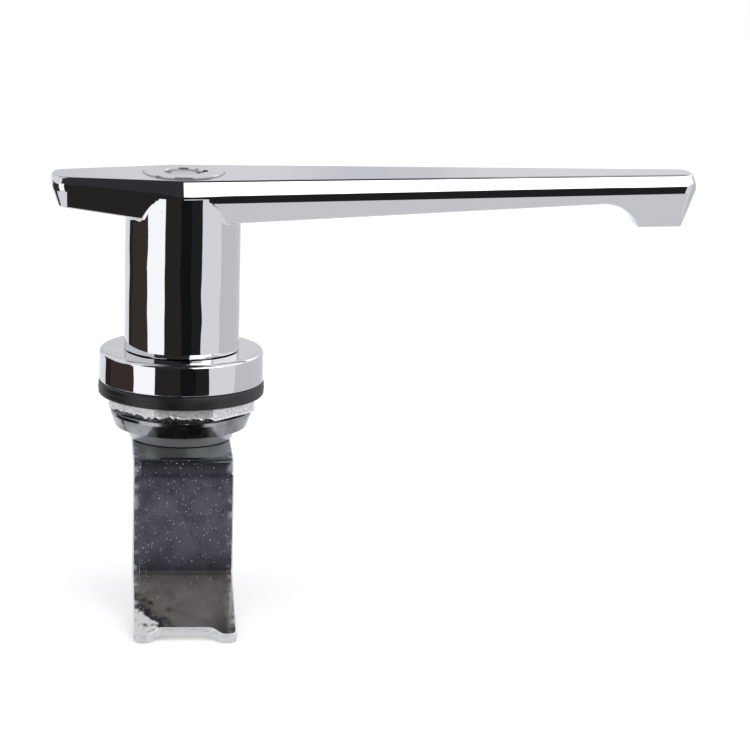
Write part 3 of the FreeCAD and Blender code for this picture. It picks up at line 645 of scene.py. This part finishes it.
# Painted reflection: the tab's left corner is painted white, with a ragged edge. Round it lies a darker band,
# where the film is thinner and the metal darker.
painted_reflection_place = add(tree, "Mapping", {"Vector": strip, "Scale": (1 / painted_reflection_width, 1 / painted_reflection_length, 0.0),
                                     "Location": (cam_half / painted_reflection_width, tab_reach / painted_reflection_length, 0.0)})
from_painted_reflection_corner = add(tree, "VectorMath", {0: painted_reflection_place}, operation="LENGTH").outputs["Value"]
painted_reflection_edge = add(tree, "MapRange", {"Value": wear_and_highlight_noise, "From Min": 0.3, "From Max": 0.7,
                                  "To Min": -0.4, "To Max": 0.4})
painted_reflection_reach = add(tree, "Math", {0: from_painted_reflection_corner, 1: painted_reflection_edge}, operation="ADD")
painted_reflection_corner = add(tree, "MapRange", {"Value": painted_reflection_reach, "From Min": 0.8, "From Max": 1.05,
                                "To Min": 0.78, "To Max": 0.0})
darker_band_round_corner = add(tree, "MapRange", {"Value": painted_reflection_reach, "From Min": 1.15, "From Max": 1.6, "To Min": 0.1})
# Painted shade: the tab's right corner gets less film and a darker metal.
painted_shade_place = add(tree, "Mapping", {"Vector": strip, "Scale": (1 / painted_shade_width, 1 / painted_shade_length, 0.0),
                                    "Location": (-cam_half / painted_shade_width, tab_reach / painted_shade_length, 0.0)})
from_painted_shade_corner = add(tree, "VectorMath", {0: painted_shade_place}, operation="LENGTH").outputs["Value"]
painted_shade_corner = add(tree, "MapRange", {"Value": from_painted_shade_corner, "From Min": 0.3, "From Max": 1.1, "To Min": 0.2})
# Darker towards both corners of the tab; at the right corner this is painted shade.
corners = add(tree, "Math", {0: darker_band_round_corner, 1: painted_shade_corner}, operation="MULTIPLY")
film = add(tree, "Math", {0: whole_film, 1: corners}, operation="MULTIPLY")
# The white diffuse share: the film, the pale edges with their painted highlight, and the painted reflection
# of the left corner.
wear_and_painted_light = add(tree, "Math", {0: worn_and_highlit_edge, 1: painted_reflection_corner}, operation="MAXIMUM")
film_and_painted_light = add(tree, "Math", {0: film, 1: wear_and_painted_light}, operation="MAXIMUM")
film_and_painted_light = add(tree, "MapRange", {"Value": mark, "To Min": film_and_painted_light, "To Max": 0.75})
hue = add(tree, "Mix", {0: on_tab, 6: linear("B4B4CA"), 7: linear("B9B2A8")}, data_type="RGBA").outputs[2]
# Pale edges, the painted reflection, specks and scratches turn the film near white.
wear_painted_light_and_marks = add(tree, "Math", {0: wear_and_painted_light, 1: mark}, operation="MAXIMUM")
film_and_painted_light_hue = add(tree, "Mix", {0: wear_painted_light_and_marks, 6: hue, 7: linear("F0F1F3")}, data_type="RGBA").outputs[2]
relief = add(tree, "Bump", {"Height": cloud, "Strength": 1.0, "Distance": 0.03 * mm})
dents = add(tree, "Bump", {"Height": mark, "Strength": 0.3, "Distance": 0.03 * mm, "Normal": relief})
# Painted shade: the top plate, under the ring and the nut, gets a darker green-grey metal.
painted_shade_on_plate = add(tree, "MapRange", {"Value": spot["Z"], "From Min": plate_bend_end,
                                  "From Max": plate_bend_start})
strip_tone = add(tree, "Mix", {0: on_tab, 6: linear("BFC0C8"), 7: linear("C6BFB2")},
                 data_type="RGBA").outputs[2]
painted_shade_plate_tone = add(tree, "Mix", {0: painted_shade_on_plate, 6: strip_tone, 7: linear("7C847E")}, data_type="RGBA").outputs[2]
steel_tone_with_painted_shade = add(tree, "Mix", {0: corners, 6: linear("5C5D63"), 7: painted_shade_plate_tone}, data_type="RGBA").outputs[2]
bright = add(tree, "BsdfPrincipled", {"Base Color": steel_tone_with_painted_shade, "Metallic": 1.0, "Roughness": 0.1,
                                      "Normal": dents})
diffuse_film_and_painted_light = add(tree, "BsdfDiffuse", {"Color": film_and_painted_light_hue, "Normal": dents})
surface = add(tree, "MixShader", {"Fac": film_and_painted_light, 1: bright, 2: diffuse_film_and_painted_light})
add(tree, "OutputMaterial", {"Surface": surface})

# The sheared rim is torn open by the punch and plated over: pale, satin and finely torn.
sheared_rim, tree, here = pattern_material("sheared_and_plated_rim")
tear_width = 0.18 * mm
tears = add(tree, "TexNoise", {"Vector": here, "Scale": 1 / tear_width, "Detail": 2.0})
tone = add(tree, "ValToRGB", {"Fac": tears}, stops=((0.3, "B9BBBD"), (0.6, "EEF0F0")))
relief = add(tree, "Bump", {"Height": tears, "Strength": 0.3, "Distance": 0.04 * mm})
surface = add(tree, "BsdfPrincipled", {"Base Color": tone, "Metallic": 0.3, "Roughness": 0.38,
                                       "Normal": relief})
add(tree, "OutputMaterial", {"Surface": surface})

cam_thick = 2.0 * mm
cam_top = -8.75 * mm
cam_set = radians(-4.0)
hole_half = 4.55 * mm
first_radius = 3.2 * mm
first_start = 26.9 * mm
drop_length = 17.844 * mm
second_radius = 1.6 * mm
tab_slope = radians(16.0)
tab_run = 19.494 * mm
notch_depth = 2.2 * mm
notch_floor = 4.9 * mm
notch_mouth = 6.8 * mm
corner_round = 1.4 * mm
back_round = cam_half * 0.999
hole_corner = 0.3 * mm
first_length = first_radius * pi / 2
second_length = second_radius * (pi / 2 - tab_slope)
second_start = first_start + first_length + drop_length
tip = second_start + second_length + tab_run


def bent(x, along, depth):
    """Place in the lock of a point of the flat strip: across, along from the back, down from the face."""
    y, z, turn = cam_half, cam_top, 0.0
    stretches = [(first_start, 0.0, 0.0), (first_length, first_radius, pi / 2), (drop_length, 0.0, 0.0),
                 (second_length, second_radius, tab_slope - pi / 2), (inf, 0.0, 0.0)]
    left = along
    for length, radius, swing in stretches:
        part = min(left, length)
        if radius == 0.0:
            y -= part * cos(turn)
            z -= part * sin(turn)
        else:
            end = turn + swing * part / length
            hand = 1 if swing > 0 else -1
            y -= hand * radius * (sin(end) - sin(turn))
            z -= hand * radius * (cos(turn) - cos(end))
            turn = end
        left -= part
        if left <= 0:
            break
    y += depth * sin(turn)
    z -= depth * cos(turn)
    return (x * cos(cam_set) - y * sin(cam_set), x * sin(cam_set) + y * cos(cam_set), z)


def rounded_loop(corners, spacing):
    """Closed loop of points about a spacing apart through (x, y, radius) corners."""
    loop = []
    count = len(corners)
    for k in range(count):
        before, corner, after = (Vector(corners[(k + d) % count][:2]) for d in (-1, 0, 1))
        radius = corners[k][2]
        to_before, to_after = (before - corner).normalized(), (after - corner).normalized()
        half_angle = to_before.angle(to_after) / 2
        run = radius / tan(half_angle)
        start, end = corner + run * to_before, corner + run * to_after
        centre = corner + (to_before + to_after).normalized() * radius / sin(half_angle)
        sweep = copysign(pi - 2 * half_angle, (corner - before).cross(after - corner))
        steps = max(2, ceil(abs(sweep) * radius / spacing * 2))
        loop += [centre + Matrix.Rotation(sweep * i / steps, 2) @ (start - centre) for i in range(steps + 1)]
        after_radius = corners[(k + 1) % count][2]
        next_before, next_after = corner - after, Vector(corners[(k + 2) % count][:2]) - after
        next_run = after_radius / tan(next_before.angle(next_after) / 2)
        goal = after + next_run * next_before.normalized()
        straight = (goal - end).length
        cuts = max(1, round(straight / spacing))
        loop += [end.lerp(goal, i / cuts) for i in range(1, cuts)]
    return loop


blank = [(-cam_half, tip, corner_round), (-notch_mouth, tip, corner_round),
         (-notch_floor, tip - notch_depth, corner_round), (notch_floor, tip - notch_depth, corner_round),
         (notch_mouth, tip, corner_round), (cam_half, tip, corner_round),
         (cam_half, 0.0, back_round), (-cam_half, 0.0, back_round)]
outline_spacing = 0.8 * mm
hole_spacing = 1.0 * mm
outline = rounded_loop(blank, outline_spacing)
hole = rounded_loop([(x * hole_half, cam_half + y * hole_half, hole_corner) for x, y in square], hole_spacing)
tear_spacing = 0.5 * mm
tear_depth = 0.12 * mm


def moved_in(loop, distance, raggedness):
    """The loop moved to the metal's side of its edge, unevenly where the edge is ragged."""
    area = sum(a.x * b.y - b.x * a.y for a, b in zip(loop, loop[1:] + loop[:1]))
    hand = 1 if area > 0 else -1
    out = []
    for k, point in enumerate(loop):
        run = (loop[(k + 1) % len(loop)] - loop[k - 1]).normalized()
        torn = raggedness * max(0.0, noise.noise(Vector((point.x, point.y, distance)) / tear_spacing))
        out.append(point + hand * (distance + torn) * Vector((-run.y, run.x)))
    return out


# Punching rolls the face's edge over and leaves a rough break below the middle. The rim goes by its
# distance in from the edge and its depth, in mm
rim = [(0.34, 0.0), (0.26, 0.0), (0.12, 0.05), (0.03, 0.16), (0.0, 0.36), (0.0, 1.1), (0.06, 1.3),
       (0.08, 1.9), (0.14, 2.0), (0.22, 2.0)]
torn_from_depth = 1.1
shape = bmesh.new()
caps = {0: [], len(rim) - 1: []}
for loop, hand in ((outline, 1), (hole, -1)):
    rings = []
    for i, (inset, depth) in enumerate(rim):
        raggedness = hand * tear_depth if depth >= torn_from_depth else 0.0
        spots = moved_in(loop, hand * inset * mm, raggedness)
        rings.append([shape.verts.new((p.x, p.y, -depth * mm)) for p in spots])
    for upper, lower in zip(rings, rings[1:]):
        for k in range(len(loop)):
            n = (k + 1) % len(loop)
            shape.faces.new((upper[k], upper[n], lower[n], lower[k]))
    for i in caps:
        caps[i] += [shape.edges.get((rings[i][k], rings[i][(k + 1) % len(loop)])) for k in range(len(loop))]
for i in caps:
    bmesh.ops.triangle_fill(shape, use_beauty=True, edges=caps[i])
bend_steps = 14
cuts = [first_start + first_length * k / bend_steps for k in range(bend_steps + 1)]
cuts += [second_start + second_length * k / bend_steps for k in range(bend_steps + 1)]
tab_cut_spacing = 1.2 * mm
cuts += [tip - tab_cut_spacing * k for k in range(2, 8)]
planes = [((0.0, cut, 0.0), (0.0, 1.0, 0.0)) for cut in cuts]
planes += [((cut * mm, 0.0, 0.0), (1.0, 0.0, 0.0)) for cut in (-9, -8, -7, -6, 6, 7, 8, 9)]
for place, normal in planes:
    everything = shape.verts[:] + shape.edges[:] + shape.faces[:]
    bmesh.ops.bisect_plane(shape, geom=everything, plane_co=place, plane_no=normal)
shape.verts.index_update()
sag_width = 3.6 * mm
sag_length = 7.0 * mm
sag_depth = 0.45 * mm


def corner_sag(spot):
    """How far the punch pulled the face down at one corner of the tab."""
    reach = hypot((spot.x + cam_half) / sag_width, (spot.y - tip) / sag_length)
    return sag_depth * max(0.0, 1.0 - reach) if spot.z > -0.6 * cam_thick else 0.0


points = [bent(v.co.x, v.co.y, corner_sag(v.co) - v.co.z) for v in shape.verts]
faces = [[v.index for v in f.verts] for f in shape.faces]
skin = 0.02 * mm
on_rim = [min(v.co.z for v in f.verts) < -skin and max(v.co.z for v in f.verts) > skin - cam_thick
          for f in shape.faces]
shape.free()
cam = piece("cam_strip", points, faces, zinc_strip, "lever", "cam", sharp=40.0)
cam.data.materials.append(sheared_rim)
for face in cam.data.polygons:
    face.material_index = 1 if on_rim[face.index] else 0


# Cam screw and its washers. A plain punched washer and a split spring washer lie under the head
# of an M6 hexagon screw, which is cold forged, thread rolled and zinc plated.

# Bright zinc plate on formed steel: bluish, cloudy and softly shining.
zinc_steel, tree, here = pattern_material("zinc_plated_formed_steel")
cloud_patch = 1.8 * mm
cloud = add(tree, "TexNoise", {"Vector": here, "Scale": 1 / cloud_patch, "Detail": 5.0, "Roughness": 0.6})
tone = add(tree, "ValToRGB", {"Fac": cloud}, stops=((0.32, "9DA0A6"), (0.66, "C9CCD1")))
rough = add(tree, "MapRange", {"Value": cloud, "From Min": 0.3, "From Max": 0.7,
                               "To Min": 0.18, "To Max": 0.36})
relief = add(tree, "Bump", {"Height": cloud, "Strength": 0.4, "Distance": 0.04 * mm})
surface = add(tree, "BsdfPrincipled", {"Base Color": tone, "Metallic": 0.92,
                                       "Roughness": rough, "Normal": relief})
add(tree, "OutputMaterial", {"Surface": surface})

low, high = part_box("cam_washer")
washer_edge = 0.18 * mm
washer_bore = 3.1 * mm
profile = [(washer_bore, low.z), (high.x - washer_edge, low.z), (high.x, low.z + washer_edge),
           (high.x, high.z - 0.5 * washer_edge), (high.x - 0.5 * washer_edge, high.z), (washer_bore, high.z)]
points, faces = turned(profile, 96)
piece("cam_washer_disc", points, faces, zinc_steel, "lever", "cam_washer")

low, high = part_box("spring_washer")
coil_outer = 5.3 * mm
coil_inner = 3.1 * mm
coil_rise = 0.3 * mm
coil_thick = high.z - low.z - coil_rise
slit = radians(11.0)
corner = 0.12 * mm
coil_steps = 90
lean = slit * 0.8
section = [(coil_inner + corner, 0.0), (coil_outer - corner, 0.0), (coil_outer, corner),
           (coil_outer, coil_thick - corner), (coil_outer - corner, coil_thick),
           (coil_inner + corner, coil_thick), (coil_inner, coil_thick - corner), (coil_inner, corner)]
rows = []
for k in range(coil_steps + 1):
    share = k / coil_steps
    a = slit / 2 + (2 * pi - slit) * share
    rows.append([(r * cos(a + lean * z / coil_thick), r * sin(a + lean * z / coil_thick),
                  low.z + z + coil_rise * share) for r, z in section])
points, faces = rows_to_mesh(rows, shut=True)
piece("split_spring_washer", points, faces, spring_steel, "lever", "spring_washer")

low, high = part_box("cam_screw")
head_across = 10.0 * mm
thread_length = 10.0 * mm
head_top = high.z - thread_length
head_face = 4.55 * mm
chamfer_rise = tan(radians(30.0))
chamfer_step = 0.07 * mm
chamfer_rows = 12
thread_radius = 3.0 * mm
thread_depth = 0.5 * mm
thread_pitch = 1.0 * mm
thread_levels = 120
taper_length = 0.8 * mm
taper_slope = 0.8
pole = 0.02 * mm
turns = angles(144)
flats = [flats_radius(a, head_across, 6) for a in turns]


def groove_share(along, angle, pitch):
    """How deep a thread is cut at one place, from 0 on its crest to 1 at its root."""
    return abs(2 * ((along / pitch - angle / (2 * pi)) % 1.0) - 1)


rows = [ring_row(turns, radius, low.z) for radius in (pole, 0.6 * head_face, head_face)]
for k in range(1, chamfer_rows + 1):
    up = chamfer_step * k
    rows.append(ring_row(turns, [min(r, head_face + up / chamfer_rise) for r in flats], low.z + up))
for level, inset in ((head_top - 0.25 * mm, 0.0), (head_top - 0.05 * mm, 0.08 * mm), (head_top, 0.2 * mm)):
    rows.append(ring_row(turns, [r - inset for r in flats], level))
for k in range(thread_levels + 1):
    level = head_top + thread_length * k / thread_levels
    crest = thread_radius - taper_slope * max(0.0, level - high.z + taper_length)
    rows.append(ring_row(turns, [crest - thread_depth * groove_share(level, a, thread_pitch) for a in turns],
                         level))
rows.append(ring_row(turns, pole, high.z))
points, faces = rows_to_mesh(rows, shut=True)
piece("hexagon_cam_screw", points, faces, zinc_steel, "lever", "cam_screw", sharp=28.0)


# Shell of the key cylinder and its grub screw. The shell is turned brass, chrome plated, and lies
# in the lever's head. The black grub screw in the back of the neck holds it.

# Chrome plate over a turned face: fine rings round the key opening, satin and dull inside it, and
# a grey line of painted shade in the seam round the rim.
turned_chrome, tree, here = pattern_material("chrome_plate_on_turned_brass")
ring_pitch = 0.28 * mm
opening_edge = 3.85 * mm
seam_edge = 7.62 * mm
seam_fade = 0.15 * mm
satin_patch = 1.2 * mm
flat = add(tree, "VectorMath", {0: here, 1: (1.0, 1.0, 0.0)}, operation="MULTIPLY")
radius = add(tree, "VectorMath", {0: flat}, operation="LENGTH").outputs["Value"]
phase = add(tree, "Math", {0: radius, 1: 2 * pi / ring_pitch}, operation="MULTIPLY")
groove = add(tree, "Math", {0: phase}, operation="SINE")
patch = add(tree, "TexNoise", {"Vector": here, "Scale": 1 / satin_patch, "Detail": 4.0})
face_rough = add(tree, "MapRange", {"Value": patch, "From Min": 0.3, "From Max": 0.7,
                                    "To Min": 0.05, "To Max": 0.13})
inside = add(tree, "Math", {0: radius, 1: opening_edge}, operation="LESS_THAN")
rough = add(tree, "MapRange", {"Value": inside, "To Min": face_rough, "To Max": 0.4})
metal = add(tree, "MapRange", {"Value": inside, "To Min": 1.0, "To Max": 0.55})
# Painted shade: past the seam's edge the rim turns dark grey and loses its metal.
painted_seam_shade = add(tree, "MapRange", {"Value": radius, "From Min": seam_edge,
                               "From Max": seam_edge + seam_fade, "To Max": 0.85})
metal = add(tree, "MapRange", {"Value": painted_seam_shade, "To Min": metal, "To Max": 0.1})
tone = add(tree, "Mix", {0: painted_seam_shade, 6: linear("CFD0D2"), 7: linear("7E7C77")}, data_type="RGBA").outputs[2]
relief = add(tree, "Bump", {"Height": groove, "Strength": 0.06, "Distance": 0.01 * mm})
surface = add(tree, "BsdfPrincipled", {"Base Color": tone, "Metallic": metal,
                                       "Roughness": rough, "Normal": relief})
add(tree, "OutputMaterial", {"Surface": surface})
dress(turned_chrome, "cylinder_shell")

# Black oxide on a steel screw: soft black with brown blotches.
black_oxide, tree, here = pattern_material("black_oxide_steel")
blotch_size = 0.8 * mm
blotch = add(tree, "TexNoise", {"Vector": here, "Scale": 1 / blotch_size, "Detail": 4.0})
tone = add(tree, "ValToRGB", {"Fac": blotch}, stops=((0.35, "141416"), (0.75, "38332E")))
relief = add(tree, "Bump", {"Height": blotch, "Strength": 0.2, "Distance": 0.03 * mm})
surface = add(tree, "BsdfPrincipled", {"Base Color": tone, "Metallic": 0.7, "Roughness": 0.36,
                                       "Normal": relief})
add(tree, "OutputMaterial", {"Surface": surface})

low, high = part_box("grub_screw")
grub_radius = (high.x - low.x) / 2
grub_level = (low.z + high.z) / 2
socket_across = 1.5 * mm
socket_depth = 1.3 * mm
grub_depth = 0.28 * mm
grub_pitch = 0.5 * mm
grub_levels = 70
socket_edge = 0.12 * mm
drill_cone = 0.2 * mm
first_turn = 0.05 * mm
cup_radius = 0.9 * mm
cup_depth = 0.4 * mm
grub_length = high.y - low.y
turns = angles(96)
flats = [flats_radius(a, socket_across, 6) for a in turns]


def grub_ring(radii, depth):
    """Ring about the screw's own axis, a depth below its outer end."""
    return [(x, high.y - z, grub_level + y) for x, y, z in ring_row(turns, radii, depth)]


rows = [grub_ring(pole, socket_depth + drill_cone), grub_ring(flats, socket_depth),
        grub_ring(flats, socket_edge), grub_ring([r + socket_edge for r in flats], 0.0),
        grub_ring(grub_radius - grub_depth, 0.0)]
for k in range(grub_levels + 1):
    depth = first_turn + (grub_length - first_turn) * k / grub_levels
    rows.append(grub_ring([grub_radius - grub_depth * groove_share(depth, -a, grub_pitch) for a in turns],
                          depth))
rows += [grub_ring(cup_radius, grub_length), grub_ring(pole, grub_length - cup_depth)]
points, faces = rows_to_mesh(rows, shut=True)
piece("socket_grub_screw", points, faces, black_oxide, "lever", "grub_screw", sharp=30.0)


# Sleeve, roll pin, driver pins and springs. The brass sleeve is drilled for the seven drivers and
# is held in the shell by a steel pin. Each driver stands on a wound wire spring.

# Turned brass: warm yellow with fine rings, dulled by oil.
brass, tree, here = pattern_material("turned_brass")
lathe_pitch = 1.257 * mm
oil_film = 1.5 * mm
rings = add(tree, "TexWave", {"Vector": here, "Scale": 2 * pi / (20 * lathe_pitch),
                              "Distortion": 0.3, "Detail": 1.0}, bands_direction="Z")
dull = add(tree, "TexNoise", {"Vector": here, "Scale": 1 / oil_film, "Detail": 4.0})
tone = add(tree, "ValToRGB", {"Fac": dull}, stops=((0.3, "A98545"), (0.7, "D6B369")))
rough = add(tree, "MapRange", {"Value": dull, "From Min": 0.3, "From Max": 0.7,
                               "To Min": 0.18, "To Max": 0.34})
relief = add(tree, "Bump", {"Height": rings.outputs["Fac"], "Strength": 0.15, "Distance": 0.02 * mm})
surface = add(tree, "BsdfPrincipled", {"Base Color": tone, "Metallic": 1.0,
                                       "Roughness": rough, "Normal": relief})
add(tree, "OutputMaterial", {"Surface": surface})
dress(brass, "pin_sleeve", "driver_pins")
dress(spring_steel, "sleeve_pin")

low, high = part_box("pin_springs")
pin_count = 7
pin_circle = 3.25 * mm
wire_radius = 0.09 * mm
coil_radius = 0.5 * mm - wire_radius
closing = 0.05
coil_turns = 9
points_a_turn = 18
wire_sides = 6
wire_length = coil_turns * points_a_turn
points, faces = [], []
for pin in range(pin_count):
    bearing = radians(90 + pin * 360 / pin_count)
    centre = Vector((pin_circle * cos(bearing), pin_circle * sin(bearing), 0.0))
    rows = []
    for k in range(wire_length + 1):
        share = k / wire_length
        # The end turns lie closed, the ones between are open
        climb = share - closing * sin(2 * pi * share)
        level = low.z + wire_radius + (high.z - low.z - 2 * wire_radius) * climb
        a = 2 * pi * k / points_a_turn
        out = Vector((cos(a), sin(a), 0.0))
        row = []
        for s in range(wire_sides):
            t = 2 * pi * s / wire_sides
            spot = centre + out * (coil_radius + wire_radius * cos(t))
            row.append((spot.x, spot.y, level + wire_radius * sin(t)))
        rows.append(row)
    wire_points, wire_faces = rows_to_mesh(rows, shut=True)
    faces += [tuple(len(points) + i for i in face) for face in wire_faces]
    points += wire_points
piece("wound_pin_springs", points, faces, spring_steel, "lever", "pin_springs")


# Key plug, key pins, clip and tail rod. The plug turns in the shell behind the round opening, and
# its post centres the tubular key. The tail rod carries its turn down to the bolt.
dress(turned_chrome, "key_plug")
dress(brass, "key_pins")
dress(spring_steel, "plug_clip")
dress(zinc_steel, "tail_rod")


# Lock bolt. A flat zinc-plated steel slide in the journal, moved by the rod's eccentric pin into
# a pocket of the mounting body.
dress(zinc_steel, "lock_bolt")
